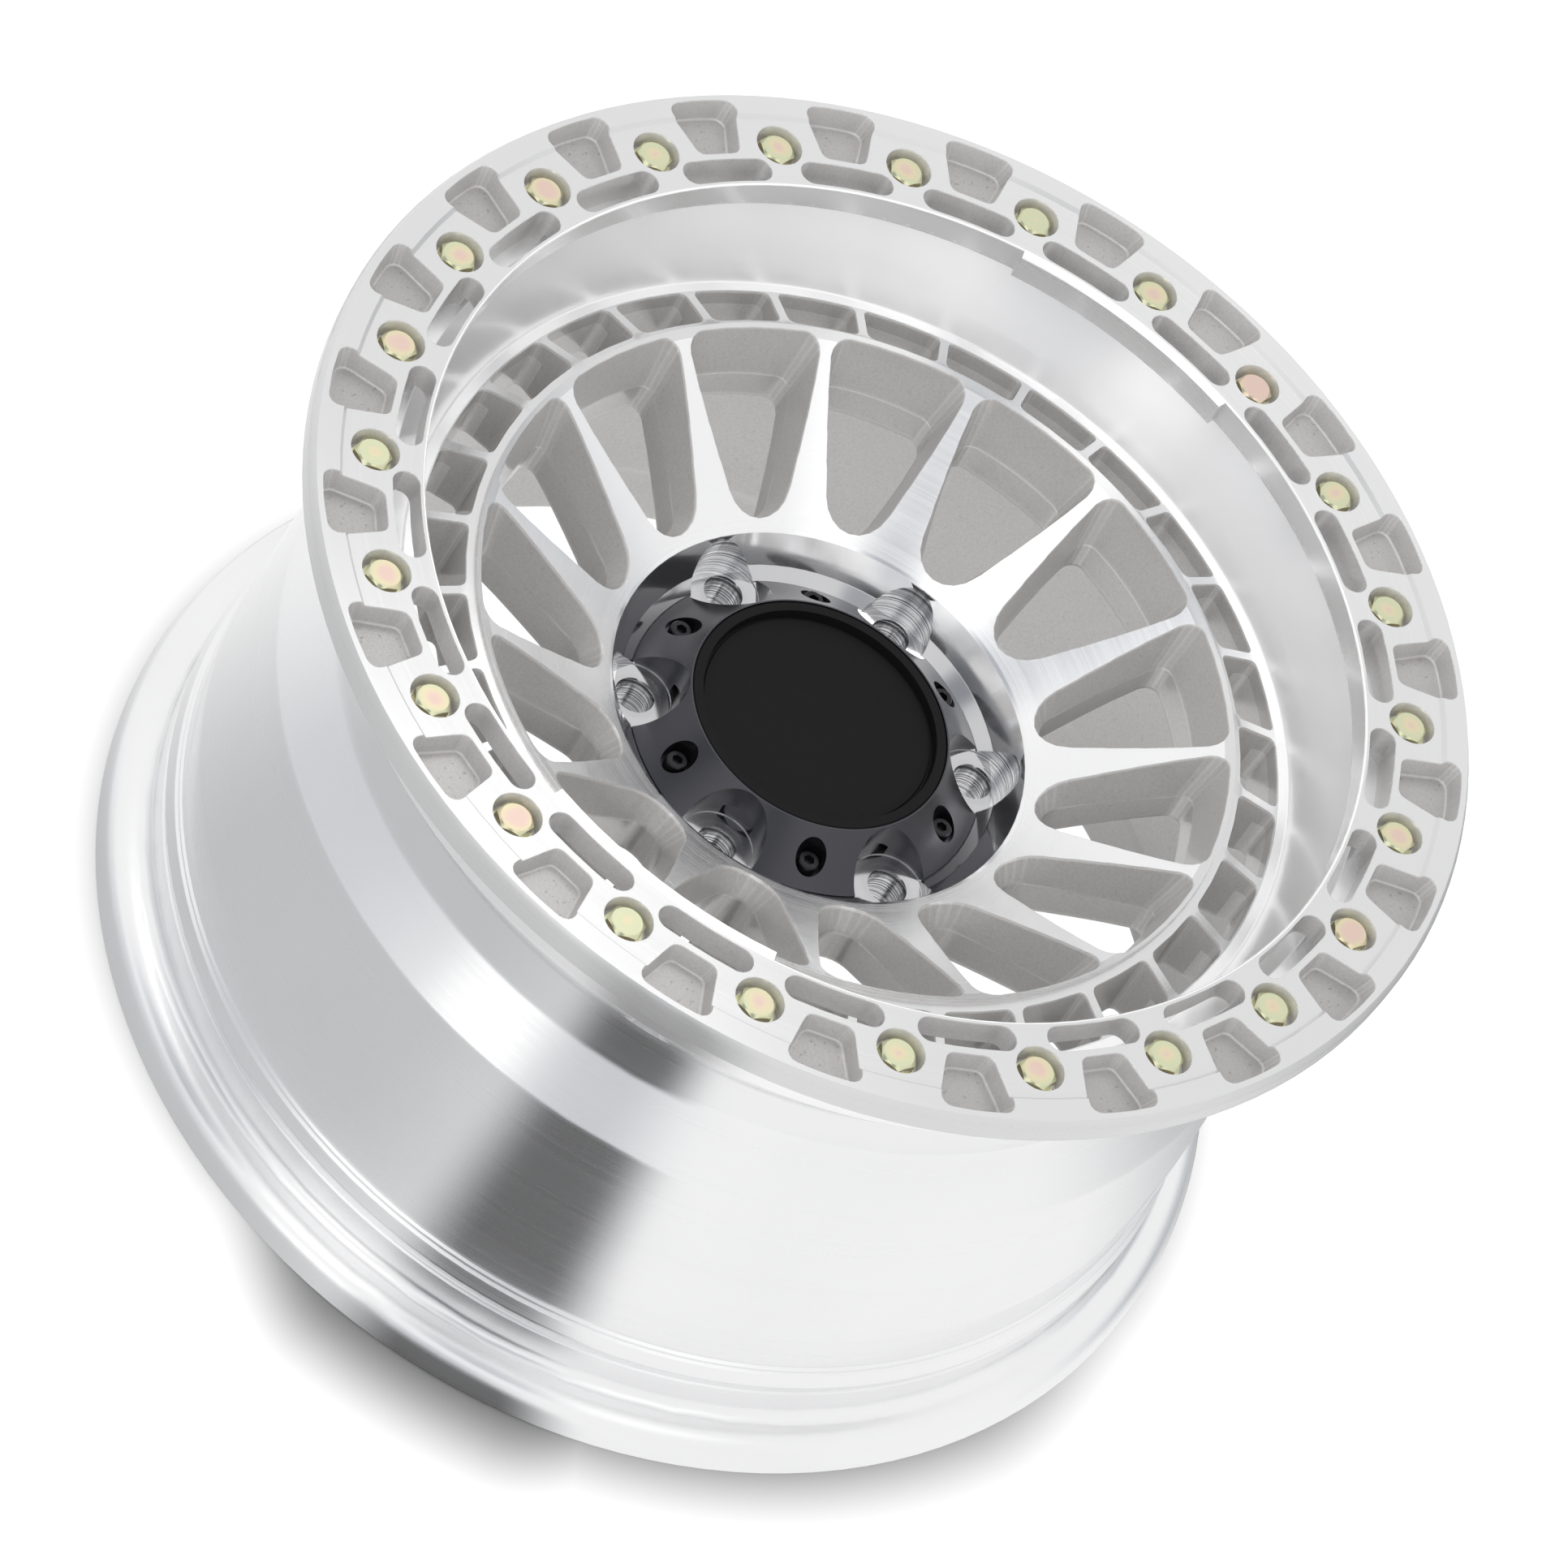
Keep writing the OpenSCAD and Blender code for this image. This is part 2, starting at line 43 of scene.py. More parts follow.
# Machined aluminium's two tones on each piece, and how far shading rounds a painted edge
CAST_METAL = ((0.88, 0.882, 0.89), (0.95, 0.951, 0.955))
WEB_METAL = ((0.70, 0.70, 0.705), (0.76, 0.76, 0.764))
RING_METAL = ((0.65, 0.65, 0.652), (0.69, 0.69, 0.692))
# Dark and bright bands round the lug holes: a painted reflection
LUG_REFLECTION_BANDS = ((0.16, 0.16, 0.17), (0.88, 0.885, 0.90))
# The dish's metal, also used on the ring's inner wall, is lighter than the rest: painted light that offsets the shade
# down in the dish
LIGHTENED_DISH_METAL = (0.985, 0.984, 0.988)
BORE_METAL = (0.60, 0.60, 0.61)
EDGE_ROUND = 0.0013
CAST_ROUND = 0.0026
# The next two paint a pale highlight along the paint's rounded edges: how much of it, and its colour; this is a painted
# highlight
EDGE_HIGHLIGHT_SHARE = 0.88
EDGE_HIGHLIGHT_COLOUR = (0.97, 0.965, 0.96)

# How metallic the silver paint is
PAINT_METAL = 0.45

# Shading: nodes turned about the axis, how little a turned face may lean sideways, and the angle across which faces blend
TURNED_NODES = ("wheel_casting", "beadlock_ring", "cap_skirt", "cap_disc", "cap_collar")
TURNED_LIMIT = 0.06
SMOOTH_DOT = math.cos(math.radians(33))

# Studio: cards as (bearing, half width, softness, depth), with a negative depth for a bright one
FLOOR_CARDS = (
    (10.0, 10.0, 5.0, 0.93),
    (-38.0, 42.0, 26.0, 0.44),
    (132.0, 28.0, 18.0, 0.48),
)
WALL_CARDS = (
    (9.0, 12.0, 8.0, 0.38),
    (-62.0, 30.0, 24.0, 0.30),
    (-15.0, 10.0, 4.0, -0.40),
    (140.0, 16.0, 12.0, 0.45),
)
# Overhead cards as (bearing, elevation, half width, softness, depth), two of them bright
SKY_CARDS = (
    (22.0, 66.0, 9.0, 4.0, 0.48),
    (23.0, 53.0, 7.0, 4.0, 0.40),
    (-66.0, 55.0, 11.0, 7.0, 0.48),
    (-54.0, 41.0, 6.0, 4.0, 0.45),
    (-28.0, 66.0, 12.0, 6.0, -0.40),
    (58.0, 61.0, 10.0, 6.0, -0.30),
)
FLOOR_TINT = (0.96, 0.98, 1.01)
SKY_TINT = (0.84, 0.92, 1.05)
# Height of a wall card as the sine of its elevation, and the light levels
WALL_TOP = 0.40
SKY_SHOWN = 0.95
# The even light, and a broad soft light from the front with the way to it
EVEN_LIGHT = 0.66
FRONT_LIGHT = 0.82
FRONT_WAY = (0.77, 0.05, 0.636)
FLOOR_COLOUR = (0.80, 0.80, 0.80)
FLOOR_SEEN = (0.26, 0.26, 0.26)
FLOOR_GLOW = 0.88
FLOOR_SHOWN = 0.96
# The floor's own light fills the wheel's inside, starts again GLOW_FROM from the axis, and further out where its shadow lies
GLOW_FROM = 0.205
GLOW_INSIDE = 0.2285
GLOW_RUN = 0.050
# Painted shadow: at these bearings the glow is held back further out, so its shape paints the shadow's outline; the
# darkness inside it is the floor's real shading
SHADOWS = (
    (7.0, 17.0, 8.0, 0.026),
    (45.0, 32.0, 12.0, 0.013),
)

# Camera: where it stands, where it looks, and how far it is rolled
CAMERA_AT = Vector((1.91124, 0.14355, 2.27908))
CAMERA_AIM = Vector((0.02667, 0.00529, 0.16))
CAMERA_ROLL = 34.1266
CAMERA_LENS = 170.81
SENSOR = 36.0


class Shade:
    """One node material, with short calls for the nodes it needs."""

    def __init__(self, name):
        self.mat = bpy.data.materials.new(name)
        self.mat.use_nodes = True
        self.tree = self.mat.node_tree
        self.bsdf = self.tree.nodes["Principled BSDF"]
        self.geo = self.tree.nodes.new("ShaderNodeNewGeometry")
        self.coord = self.tree.nodes.new("ShaderNodeTexCoord").outputs["Object"]

    def put(self, socket, value):
        """Sets a socket to a constant or links it."""
        if isinstance(value, bpy.types.NodeSocket):
            self.tree.links.new(value, socket)
        elif hasattr(socket.default_value, "__len__") and not hasattr(value, "__len__"):
            socket.default_value = [value] * len(socket.default_value)
        elif hasattr(value, "__len__") and len(socket.default_value) == len(value) + 1:
            socket.default_value = [*value, 1.0]
        else:
            socket.default_value = value

    def math(self, op, a, b=0.0, c=0.0):
        n = self.tree.nodes.new("ShaderNodeMath")
        n.operation = op
        for socket, value in zip(n.inputs, (a, b, c)):
            self.put(socket, value)
        return n.outputs[0]

    def split(self, vector):
        n = self.tree.nodes.new("ShaderNodeSeparateXYZ")
        self.put(n.inputs[0], vector)
        return n.outputs

    def join(self, x, y, z):
        n = self.tree.nodes.new("ShaderNodeCombineXYZ")
        for socket, value in zip(n.inputs, (x, y, z)):
            self.put(socket, value)
        return n.outputs[0]

    def noise(self, scale, detail=2.0, rough=0.5, vector=None):
        n = self.tree.nodes.new("ShaderNodeTexNoise")
        self.put(n.inputs["Vector"], self.coord if vector is None else vector)
        n.inputs["Scale"].default_value = scale
        n.inputs["Detail"].default_value = detail
        n.inputs["Roughness"].default_value = rough
        return n.outputs["Fac"]

    def ramp(self, value, low, high, out_low=0.0, out_high=1.0):
        n = self.tree.nodes.new("ShaderNodeMapRange")
        n.interpolation_type = "SMOOTHSTEP"
        for key, v in (("Value", value), ("From Min", low), ("From Max", high),
                       ("To Min", out_low), ("To Max", out_high)):
            self.put(n.inputs[key], v)
        return n.outputs["Result"]

    def scale(self, vector, factor):
        n = self.tree.nodes.new("ShaderNodeVectorMath")
        n.operation = "SCALE"
        self.put(n.inputs[0], vector)
        self.put(n.inputs["Scale"], factor)
        return n.outputs["Vector"]

    def dot(self, vector, way):
        n = self.tree.nodes.new("ShaderNodeVectorMath")
        n.operation = "DOT_PRODUCT"
        self.put(n.inputs[0], vector)
        self.put(n.inputs[1], way)
        return n.outputs["Value"]

    def mix(self, fac, a, b):
        n = self.tree.nodes.new("ShaderNodeMix")
        n.data_type = "RGBA"
        self.put(n.inputs[0], fac)
        self.put(n.inputs[6], a)
        self.put(n.inputs[7], b)
        return n.outputs[2]

    def bump(self, height, distance, strength=1.0, normal=None):
        n = self.tree.nodes.new("ShaderNodeBump")
        self.put(n.inputs["Height"], height)
        n.inputs["Distance"].default_value = distance
        n.inputs["Strength"].default_value = strength
        if normal is not None:
            self.put(n.inputs["Normal"], normal)
        return n.outputs["Normal"]

    def rounded(self, radius):
        n = self.tree.nodes.new("ShaderNodeBevel")
        n.samples = 3
        n.inputs["Radius"].default_value = radius
        return n.outputs["Normal"]

    def principled(self, **values):
        for key, value in values.items():
            self.put(self.bsdf.inputs[key.replace("_", " ")], value)

    def polar(self):
        """Radius, angle as x and y of the unit circle, and height of the shaded point."""
        x, y, z = self.split(self.coord)
        r = self.math("SQRT", self.math("ADD", self.math("MULTIPLY", x, x), self.math("MULTIPLY", y, y)))
        return x, y, z, r


def both(s, *tests):
    """1 where every test is 1."""
    out = tests[0]
    for t in tests[1:]:
        out = s.math("MINIMUM", out, t)
    return out


def above(s, value, edge):
    return s.math("GREATER_THAN", value, edge)


def below(s, value, edge):
    return s.math("LESS_THAN", value, edge)


def machined_mask(s):
    """1 on the lathe-turned surfaces of the casting and 0 on its painted ones."""
    x, y, z, r = s.polar()
    nx, ny, nz = s.split(s.geo.outputs["True Normal"])
    outward = s.math("DIVIDE", s.math("ADD", s.math("MULTIPLY", x, nx), s.math("MULTIPLY", y, ny)), r)
    hub = both(s, below(s, r, HUB_R), above(s, z, PAD_Z))
    face = both(s, above(s, nz, FACE_TILT), above(s, z, DISC_LOW))
    dish = both(s, above(s, r, DISH_R), above(s, z, DISH_LOW))
    barrel = both(s, above(s, r, RIM_R), above(s, outward, -0.05))
    mask = hub
    for part in (face, dish, barrel):
        mask = s.math("MAXIMUM", mask, part)
    return mask


def turned_lines(s, depth, calm=0.0):
    """Fine lathe lines that run round the axis, and fade where calm is 1."""
    x, y, z, r = s.polar()
    rings = s.join(s.math("MULTIPLY", r, 1.0), s.math("MULTIPLY", z, 1.0), 0.0)
    fine = s.noise(1700.0, 2.0, 0.6, rings)
    broad = s.noise(420.0, 2.0, 0.5, rings)
    lines = s.math("ADD", s.math("MULTIPLY", fine, 0.6), s.math("MULTIPLY", broad, 0.4))
    return s.bump(s.math("MULTIPLY", lines, s.math("SUBTRACT", 1.0, calm)), depth), lines


def metal_and_paint(s, mask, metal, metallic, paint_floor, lighter_wall_paint, edge, rough_metal=0.24, normal_of=None, calm=0.0):
    """Machined aluminium beside silver-grey paint, both under one clear coat; the paint is lighter on walls than on
    faces that look up, which is painted light.
    """
    lines_normal, lines = turned_lines(s, 0.000004, calm)
    if normal_of:
        lines_normal = normal_of(lines_normal)
    grain = s.noise(900.0, 3.0, 0.6)
    speck = s.ramp(s.noise(520.0, 1.0, 0.5), 0.66, 0.72)
    nx, ny, nz = s.split(s.geo.outputs["True Normal"])
    floor = s.ramp(nz, 0.5, 0.9)
    shade = s.ramp(grain, 0.25, 0.75, 0.93, 1.05)
    # Painted light: walls get a lighter copy of the paint than faces that look up
    paint = s.scale(s.mix(floor, lighter_wall_paint, paint_floor), shade)
    paint = s.mix(s.math("MULTIPLY", speck, s.math("MULTIPLY_ADD", floor, 0.35, 0.10)), paint, (0.16, 0.15, 0.145))
    soft = s.rounded(edge)
    bend = s.math("SUBTRACT", 1.0, s.dot(soft, s.geo.outputs["True Normal"]))
    # Painted highlight: the paint turns pale where the rounded normal bends away from the face, along edges and ridges
    edge_highlight = s.ramp(bend, 0.004, 0.055, 0.0, EDGE_HIGHLIGHT_SHARE)
    paint = s.mix(edge_highlight, paint, EDGE_HIGHLIGHT_COLOUR)
    paint_normal = s.bump(grain, 0.00006, normal=soft)
    normal = s.tree.nodes.new("ShaderNodeMix")
    normal.data_type = "VECTOR"
    s.put(normal.inputs[0], mask)
    s.put(normal.inputs[4], paint_normal)
    s.put(normal.inputs[5], lines_normal)
    rough = s.tree.nodes.new("ShaderNodeMix")
    s.put(rough.inputs[0], mask)
    s.put(rough.inputs[2], 0.36)
    sway = s.math("MULTIPLY", s.ramp(lines, 0.3, 0.7, -0.04, 0.04), s.math("SUBTRACT", 1.0, calm))
    s.put(rough.inputs[3], s.math("ADD", rough_metal, sway))
    tangent = s.tree.nodes.new("ShaderNodeTangent")
    tangent.direction_type = "RADIAL"
    tangent.axis = "Z"
    s.principled(
        Base_Color=s.mix(mask, paint, metal),
        Metallic=s.math("MULTIPLY_ADD", mask, s.math("SUBTRACT", metallic, PAINT_METAL), PAINT_METAL),
        Roughness=rough.outputs[0],
        Anisotropic=0.7,
        Anisotropic_Rotation=0.25,
        Tangent=tangent.outputs[0],
        Normal=normal.outputs[1],
        Coat_Weight=0.6,
        Coat_Roughness=0.05,
        Coat_Normal=s.bump(s.noise(420.0, 2.0, 0.5), 0.00003, normal=soft),
    )
    return s.mat


def nearest_distance(s, x, y, r, count, circle):
    """Distance from the nearest of a circle of holes or bolts round the axis."""
    step = 2 * math.pi / count
    local = s.math("WRAP", s.math("ARCTAN2", y, x), step / 2, -step / 2)
    along = s.math("SUBTRACT", s.math("MULTIPLY", r, s.math("COSINE", local)), circle)
    across = s.math("MULTIPLY", r, s.math("SINE", local))
    return s.math("SQRT", s.math("ADD", s.math("MULTIPLY", along, along), s.math("MULTIPLY", across, across)))


def casting_material():
    """The casting: bright on the barrel and spokes, satin in the dish, and round the lug holes with cutter marks in its
    bump and painted dark and bright reflection bands in its colour.
    """
    s = Shade("machined_aluminium")
    x, y, z, r = s.polar()
    dish = both(s, above(s, r, DISH_R), above(s, z, DISH_LOW))
    nz = s.split(s.geo.outputs["True Normal"])[2]
    hub = below(s, r, HUB_R)
    lug = both(s, below(s, nearest_distance(s, x, y, r, LUGS, LUG_R), 0.0151), above(s, z, PAD_Z), below(s, nz, 0.3))
    seat = both(s, below(s, r, CAP_R), above(s, z, PAD_Z))
    marks_and_reflection_bands = s.noise(1.0, 3.0, 0.7, s.join(0.0, 0.0, s.math("MULTIPLY", z, 700.0)))
    cloud = s.noise(14.0, 3.0, 0.5)
    web = both(s, above(s, r, STEP_R), below(s, r, DISH_R))
    metal = s.mix(web, s.mix(cloud, *CAST_METAL), s.mix(cloud, *WEB_METAL))
    # Painted light: the dish gets a lighter metal colour to offset its shade
    metal = s.mix(dish, metal, LIGHTENED_DISH_METAL)
    metal = s.mix(seat, metal, BORE_METAL)
    # Painted reflection: round the lug holes the colour runs in dark and bright bands standing in for what the
    # mirror-like walls reflect; the same pattern bumps the surface as cutter marks
    metal = s.mix(lug, metal, s.mix(s.ramp(marks_and_reflection_bands, 0.42, 0.58), *LUG_REFLECTION_BANDS))
    metallic = s.math("MULTIPLY_ADD", dish, -0.20, 0.92)
    metallic = s.math("MULTIPLY_ADD", hub, 0.06, metallic)
    rough = s.math("MULTIPLY_ADD", dish, 0.04, s.math("MULTIPLY_ADD", hub, -0.14, 0.24))
    # Painted light: walls get a lighter paint than up-facing faces, and the inside of the barrel a lighter one still,
    # to make up for their shade
    inside = both(s, above(s, r, BARREL_IN), below(s, z, DISH_LOW - 0.006))
    wall = s.mix(inside, (0.64, 0.628, 0.617), (0.84, 0.826, 0.812))

    def cut(normal):
        return s.bump(s.math("MULTIPLY", marks_and_reflection_bands, lug), 0.0003, normal=normal)

    mask = machined_mask(s)
    calm = s.math("MULTIPLY", s.math("MAXIMUM", hub, dish), 0.94)
    return metal_and_paint(s, mask, metal, metallic, (0.56, 0.548, 0.537), wall, CAST_ROUND, rough, cut, calm)


def near_bolt(s, x, y, r):
    """1 inside the counterbores."""
    return below(s, nearest_distance(s, x, y, r, BOLTS, BOLT_R), 0.0097)


def ring_mask(s):
    """1 on the turned top, outer edge and inner wall of the beadlock ring; its pockets and slots are painted."""
    x, y, z, r = s.polar()
    nx, ny, nz = s.split(s.geo.outputs["True Normal"])
    top = both(s, above(s, nz, 0.6), above(s, z, 0.2583))
    bore = s.math("MULTIPLY", near_bolt(s, x, y, r), 0.25)
    outward = s.math("DIVIDE", s.math("ADD", s.math("MULTIPLY", x, nx), s.math("MULTIPLY", y, ny)), r)
    edge = both(s, above(s, r, 0.2305), above(s, outward, 0.3))
    inner = both(s, below(s, r, RING_IN), below(s, outward, -0.5))
    under = below(s, nz, -0.5)
    mask = top
    for part in (bore, edge, inner, under):
        mask = s.math("MAXIMUM", mask, part)
    return mask


def ring_material():
    s = Shade("ring_aluminium")
    x, y, z, r = s.polar()
    inner = below(s, r, RING_IN)
    metal = s.mix(inner, s.mix(s.noise(14.0, 3.0, 0.5), *RING_METAL), LIGHTENED_DISH_METAL)
    # Painted light: pocket walls get a lighter paint than the floors, and the machined counterbore walls a nearly white
    # one that paints in their bright reflection
    wall = s.mix(near_bolt(s, x, y, r), (0.66, 0.65, 0.645), (0.99, 0.98, 0.97))
    metallic = s.math("MULTIPLY_ADD", inner, 0.15, 0.55)
    return metal_and_paint(s, ring_mask(s), metal, metallic, (0.42, 0.409, 0.401), wall, EDGE_ROUND)


def zinc_material(name, warm):
    """Yellow passivated zinc: a thin film that is pink in the middle of a head, green round it and gold on its flanks."""
    s = Shade(name)
    x, y, z, r = s.polar()
    nx, ny, nz = s.split(s.geo.outputs["True Normal"])
    out = s.math("DIVIDE", nearest_distance(s, x, y, r, BOLTS, BOLT_R), HEAD_R)
    drift = s.math("SUBTRACT", s.noise(11.0, 0.0, 0.5), 0.5)
    film = s.math("SUBTRACT", s.noise(90.0, 1.0, 0.5), 0.5)
    tone = s.math("ADD", out, s.math("ADD", s.math("MULTIPLY", drift, 2.4), s.math("MULTIPLY", film, 0.9)))
    tint = s.mix(s.ramp(tone, 0.15, 0.65), (0.76, 0.58, 0.50), (0.76, 0.67, 0.46))
    tint = s.mix(s.ramp(tone, 0.55, 1.0), tint, (0.66, 0.68, 0.46))
    tint = s.mix(s.ramp(nz, 0.5, 0.9), warm, tint)
    s.principled(
        Base_Color=tint,
        Metallic=1.0,
        Roughness=s.math("MULTIPLY_ADD", s.ramp(nz, 0.5, 0.9), 0.10, 0.12),
        Normal=s.bump(s.noise(300.0, 2.0, 0.5), 0.000008),
        Coat_Weight=0.3,
        Coat_Roughness=0.08,
    )
    return s.mat


def dark_material(name, dark, light, rough, metallic, coat, gloss=0.5, grit=1.0):
    """A dark coating with a fine even grain."""
    s = Shade(name)
    grain = s.noise(1400.0, 3.0, 0.6)
    s.principled(
        Base_Color=s.mix(grain, dark, light),
        Metallic=metallic,
        Specular_IOR_Level=gloss,
        Roughness=s.ramp(grain, 0.3, 0.7, rough - 0.05 * grit, rough + 0.05 * grit),
        Normal=s.bump(grain, 0.00002 * grit),
        Coat_Weight=coat,
        Coat_Roughness=0.25,
    )
    return s.mat


def smooth(node):
    """Shading normals that follow turned surfaces and small fillets; the shape itself stays as it is."""
    mesh = node.data
    count = len(mesh.polygons)
    points = np.empty(len(mesh.vertices) * 3)
    mesh.vertices.foreach_get("co", points)
    points = points.reshape(-1, 3)
    corner_of = np.empty(count * 3, int)
    mesh.loops.foreach_get("vertex_index", corner_of)
    corners = points[corner_of].reshape(-1, 3, 3)
    normals = np.cross(corners[:, 1] - corners[:, 0], corners[:, 2] - corners[:, 0])
    area = np.linalg.norm(normals, axis=1)
    normals /= np.maximum(area, 1e-20)[:, None]
    centre = corners.mean(axis=1)
    radial = centre[:, :2] / np.maximum(np.linalg.norm(centre[:, :2], axis=1), 1e-9)[:, None]
    outward = (normals[:, :2] * radial).sum(axis=1)
    sideways = normals[:, 1] * radial[:, 0] - normals[:, 0] * radial[:, 1]
    turned = (np.abs(sideways) < TURNED_LIMIT) & (node.name in TURNED_NODES)
    own = np.repeat(normals[:, None, :], 3, axis=1)
    way = corners[:, :, :2] / np.maximum(np.linalg.norm(corners[:, :, :2], axis=2), 1e-9)[:, :, None]
    own[turned, :, :2] = way[turned] * outward[turned][:, None, None]
    own[turned] /= np.linalg.norm(own[turned], axis=2)[:, :, None]
    own = own.reshape(-1, 3)
    weight = np.repeat(area, 3)
    keys = np.round(points[corner_of] * 1e6).astype(np.int64)
    order = np.lexsort(keys.T)
    ends = np.flatnonzero(np.any(np.diff(keys[order], axis=0) != 0, axis=1)) + 1
    out = np.empty_like(own)
    for group in np.split(order, ends):
        near = own[group] @ own[group].T > SMOOTH_DOT
        out[group] = near @ (own[group] * weight[group][:, None])
    length = np.linalg.norm(out, axis=1)
    out = np.where(length[:, None] > 1e-12, out / np.maximum(length, 1e-20)[:, None], own)
    mesh.normals_split_custom_set(out.tolist())


def dress(frame):
    """Gives every node its finish and smooth shading where faces nearly align."""
    finishes = {
        "wheel_casting": casting_material(),
        "beadlock_ring": ring_material(),
        "beadlock_bolts": zinc_material("yellow_zinc", (0.80, 0.74, 0.50)),
        "bolt_washers": zinc_material("washer_zinc", (0.66, 0.60, 0.38)),
        "cap_skirt": dark_material("satin_anthracite", (0.050, 0.050, 0.058), (0.058, 0.058, 0.067), 0.24, 0.9, 0.5,
                                   grit=0.2),
        "cap_disc": dark_material("matt_black", (0.005, 0.005, 0.0055), (0.008, 0.008, 0.0088), 0.6, 0.0, 0.0, 0.12),
        "cap_screws": dark_material("black_steel", (0.02, 0.02, 0.022), (0.035, 0.035, 0.038), 0.35, 0.8, 0.0),
    }
    for name, material in finishes.items():
        node = frame["nodes"][name]
        for slot in node.material_slots:
            slot.material = material
        if not node.material_slots:
            node.data.materials.append(material)
        smooth(node)
    make_collar(finishes["cap_skirt"])


def make_collar(material):
    """The foot of the cap's inner wall, which closes the centre bore off behind the scallops."""
    turns = [2 * math.pi * i / COLLAR_SIDES for i in range(COLLAR_SIDES)]
    points = [(r * math.cos(a), r * math.sin(a), z) for a in turns for r, z in COLLAR_PROFILE]
    rows = len(COLLAR_PROFILE)
    faces = []
    for i in range(COLLAR_SIDES):
        here, there = i * rows, (i + 1) % COLLAR_SIDES * rows
        for j in range(rows):
            up = (j + 1) % rows
            faces.append((here + j, there + j, there + up))
            faces.append((here + j, there + up, here + up))
    mesh = bpy.data.meshes.new("cap_collar")
    mesh.from_pydata(points, [], faces)
    collar = bpy.data.objects.new("cap_collar", mesh)
    bpy.context.scene.collection.objects.link(collar)
    mesh.materials.append(material)
    smooth(collar)
    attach(collar, "root")


def bearing(s, x, y):
    """Bearing round the wheel in degrees, with 0 along +X."""
    return s.math("MULTIPLY", s.math("ARCTAN2", y, x), 180.0 / math.pi)


def studio(s, angle, cards):
    """Brightness of the studio round the wheel at a bearing: white, with a few soft darker cards."""
    light = 1.0
    for centre, half, soft, depth in cards:
        away = s.math("ABSOLUTE", s.math("WRAP", s.math("SUBTRACT", angle, centre), 180.0, -180.0))
        light = s.math("MULTIPLY", light, s.ramp(away, half - soft, half + soft, 1.0 - depth, 1.0))
    return light


def make_floor():
    """A wide white floor that keeps the wheel's soft shadow, whose outline is painted by holding the floor's glow back
    in shaped patches.
    """
    half = 12.0
    mesh = bpy.data.meshes.new("floor")
    mesh.from_pydata([(-half, -half, 0), (half, -half, 0), (half, half, 0), (-half, half, 0)], [], [(0, 1, 2, 3)])
    floor = bpy.data.objects.new("floor", mesh)
    bpy.context.scene.collection.objects.link(floor)
    s = Shade("floor_white")
    path = s.tree.nodes.new("ShaderNodeLightPath")
    colour = s.mix(path.outputs["Is Camera Ray"], FLOOR_COLOUR, FLOOR_SEEN)
    s.principled(Base_Color=colour, Roughness=0.9, Specular_IOR_Level=0.0)
    x, y, z = s.split(s.coord)
    mirrored = s.math("MAXIMUM", path.outputs["Is Glossy Ray"], path.outputs["Is Transmission Ray"])
    angle = bearing(s, x, y)
    # Painted shadow outline: how far out the glow is held back at each bearing
    start = 0.0
    for centre, half, soft, reach in SHADOWS:
        away = s.math("ABSOLUTE", s.math("WRAP", s.math("SUBTRACT", angle, centre), 180.0, -180.0))
        start = s.math("MAXIMUM", start, s.ramp(away, half - soft, half + soft, reach, 0.0))
    out = s.math("SQRT", s.math("ADD", s.math("MULTIPLY", x, x), s.math("MULTIPLY", y, y)))
    inside = below(s, out, GLOW_INSIDE)
    out = s.math("SUBTRACT", out, start)
    own = s.math("MAXIMUM", inside, s.ramp(out, GLOW_FROM, GLOW_FROM + GLOW_RUN, 0.0, FLOOR_GLOW))
    seen = s.math("MULTIPLY", path.outputs["Is Camera Ray"], own)
    shown = s.math("MULTIPLY", mirrored, studio(s, angle, FLOOR_CARDS))
    glow = s.tree.nodes.new("ShaderNodeEmission")
    s.put(glow.inputs["Color"], s.mix(s.math("MAXIMUM", shown, path.outputs["Is Camera Ray"]), FLOOR_TINT, (1.0, 1.0, 1.0)))
    s.put(glow.inputs["Strength"], s.math("ADD", seen, s.math("MULTIPLY", shown, FLOOR_SHOWN)))
    lit = s.tree.nodes.new("ShaderNodeMixShader")
    s.put(lit.inputs[0], mirrored)
    s.tree.links.new(s.bsdf.outputs[0], lit.inputs[1])
    add = s.tree.nodes.new("ShaderNodeAddShader")
    s.tree.links.new(lit.outputs[0], add.inputs[0])
    s.tree.links.new(glow.outputs[0], add.inputs[1])
    s.tree.links.new(add.outputs[0], s.tree.nodes["Material Output"].inputs["Surface"])
    floor.data.materials.append(s.mat)


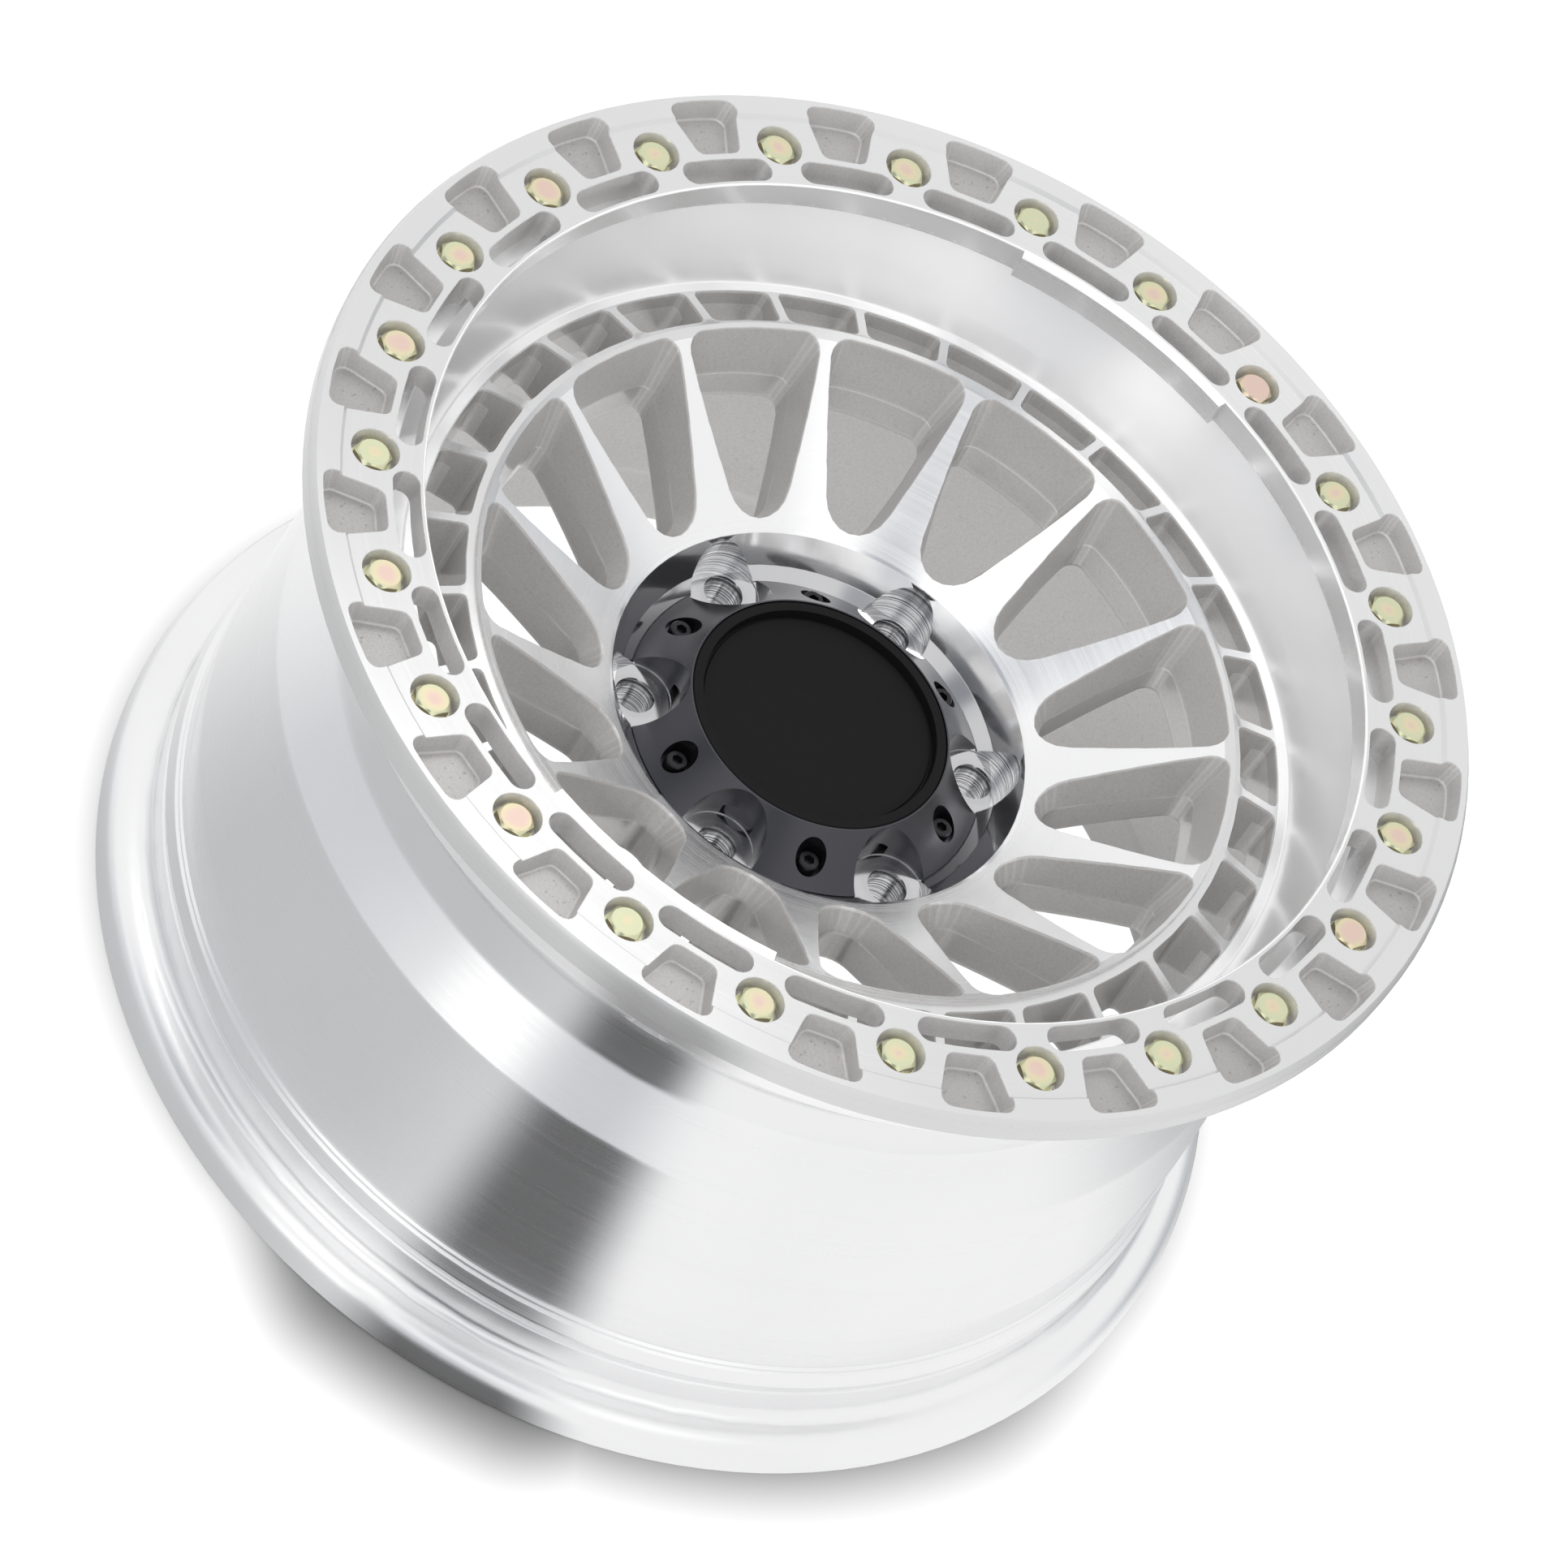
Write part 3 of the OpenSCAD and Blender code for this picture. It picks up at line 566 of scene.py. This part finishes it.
def make_world():
    """A white studio for what the camera and mirrors see, and a plain even light for the rest."""
    world = bpy.data.worlds.new("studio")
    bpy.context.scene.world = world
    world.use_nodes = True
    s = Shade.__new__(Shade)
    s.tree = world.node_tree
    back = s.tree.nodes["Background"]
    where = s.tree.nodes.new("ShaderNodeTexCoord").outputs["Generated"]
    x, y, z = s.split(where)
    path = s.tree.nodes.new("ShaderNodeLightPath")
    seen = path.outputs["Is Camera Ray"]
    for kind in ("Is Glossy Ray", "Is Transmission Ray"):
        seen = s.math("MAXIMUM", seen, path.outputs[kind])
    low = s.ramp(z, WALL_TOP - 0.12, WALL_TOP + 0.12, 1.0, 0.0)
    wall = studio(s, bearing(s, x, y), WALL_CARDS)
    band = s.math("ADD", s.math("MULTIPLY", low, wall), s.math("SUBTRACT", 1.0, low))
    for card, height, half, soft, depth in SKY_CARDS:
        flat, turn, rise = math.cos(math.radians(height)), math.radians(card), math.sin(math.radians(height))
        facing = s.dot(where, (flat * math.cos(turn), flat * math.sin(turn), rise))
        near, far = (math.cos(math.radians(half + side * soft)) for side in (-1, 1))
        band = s.math("MULTIPLY", band, s.ramp(facing, far, near, 1.0, 1.0 - depth))
    shown = s.math("MULTIPLY", band, SKY_SHOWN)
    front = s.math("MAXIMUM", s.dot(where, FRONT_WAY), 0.0)
    plain = s.math("MULTIPLY_ADD", front, FRONT_LIGHT, EVEN_LIGHT)
    plain = s.math("MULTIPLY", s.math("SUBTRACT", 1.0, seen), plain)
    white = s.math("MAXIMUM", band, s.math("SUBTRACT", 1.0, seen))
    s.put(back.inputs["Color"], s.mix(white, SKY_TINT, (1.0, 1.0, 1.0)))
    s.put(back.inputs["Strength"], s.math("ADD", s.math("MULTIPLY", seen, shown), plain))


def make_lamp(name, at, aim, size, watts):
    data = bpy.data.lights.new(name, "AREA")
    data.shape = "DISK"
    data.size = size
    data.energy = watts
    lamp = bpy.data.objects.new(name, data)
    bpy.context.scene.collection.objects.link(lamp)
    lamp.location = at
    lamp.rotation_euler = (Vector(aim) - Vector(at)).to_track_quat("-Z", "Y").to_euler()


def make_camera():
    data = bpy.data.cameras.new("camera")
    data.sensor_width = SENSOR
    data.sensor_fit = "HORIZONTAL"
    data.lens = CAMERA_LENS
    data.clip_end = 50.0
    camera = bpy.data.objects.new("camera", data)
    bpy.context.scene.collection.objects.link(camera)
    look = (CAMERA_AIM - CAMERA_AT).to_track_quat("-Z", "Y").to_matrix().to_4x4()
    roll = Matrix.Rotation(math.radians(CAMERA_ROLL), 4, "Z")
    camera.matrix_world = Matrix.Translation(CAMERA_AT) @ look @ roll
    bpy.context.scene.camera = camera


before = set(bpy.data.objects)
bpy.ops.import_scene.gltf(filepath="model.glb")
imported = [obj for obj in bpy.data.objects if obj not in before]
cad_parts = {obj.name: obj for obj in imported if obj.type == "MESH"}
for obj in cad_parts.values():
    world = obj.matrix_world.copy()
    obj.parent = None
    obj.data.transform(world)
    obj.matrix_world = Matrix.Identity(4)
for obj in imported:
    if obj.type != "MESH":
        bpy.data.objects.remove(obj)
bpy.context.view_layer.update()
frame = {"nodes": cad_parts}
make_camera()
make_world()
make_lamp("key", (-0.80, -0.46, 2.85), (0, 0, 0.1), 1.4, 15)
make_floor()
dress(frame)
bpy.context.scene.view_settings.view_transform = "Standard"
